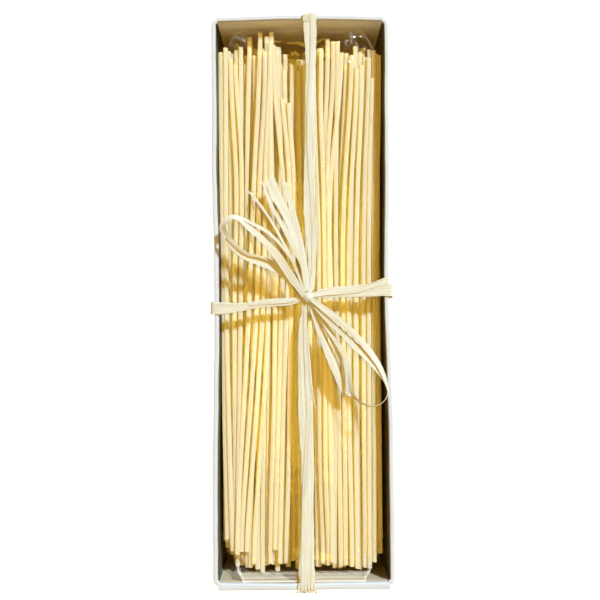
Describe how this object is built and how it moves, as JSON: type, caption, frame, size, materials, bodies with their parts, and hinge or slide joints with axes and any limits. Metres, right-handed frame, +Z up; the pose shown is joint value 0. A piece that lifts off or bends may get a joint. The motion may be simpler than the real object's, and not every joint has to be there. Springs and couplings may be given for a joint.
{
  "type": "packed dry spaghetti",
  "caption": "Open card tray holding a clear sealed bag of long dry spaghetti, tied both ways with raffia strips that end in a knot and a bow on top.",
  "frame": {"origin": "on the surface that the pack lies on, under the middle of the pack's box", "axes": "+Y along the pack, towards the end that the wide tail of the bow points to; +X across the pack; +Z up, out of the open tray"},
  "size_m": [0.092, 0.2906, 0.0602],
  "materials": {
    "card": "matt white folded card, dull tan inside",
    "card_inside": "uncoated tan inner face",
    "spaghetti": "dry durum pasta, cream and slightly floury, golden in depth",
    "film": "thin clear glossy film",
    "raffia": "natural dry palm fibre, pale cream with a dull sheen"
  },
  "bodies": {
    "root": {"tray": "card", "bag_of_spaghetti": "spaghetti", "raffia_tie": "raffia", "raffia_loop_left": "raffia", "raffia_loop_right": "raffia", "raffia_tail_far_wide": "raffia", "raffia_tail_far_slim": "raffia", "raffia_tail_near_wide": "raffia", "raffia_tail_near_slim": "raffia"}
  },
  "joints": []
}
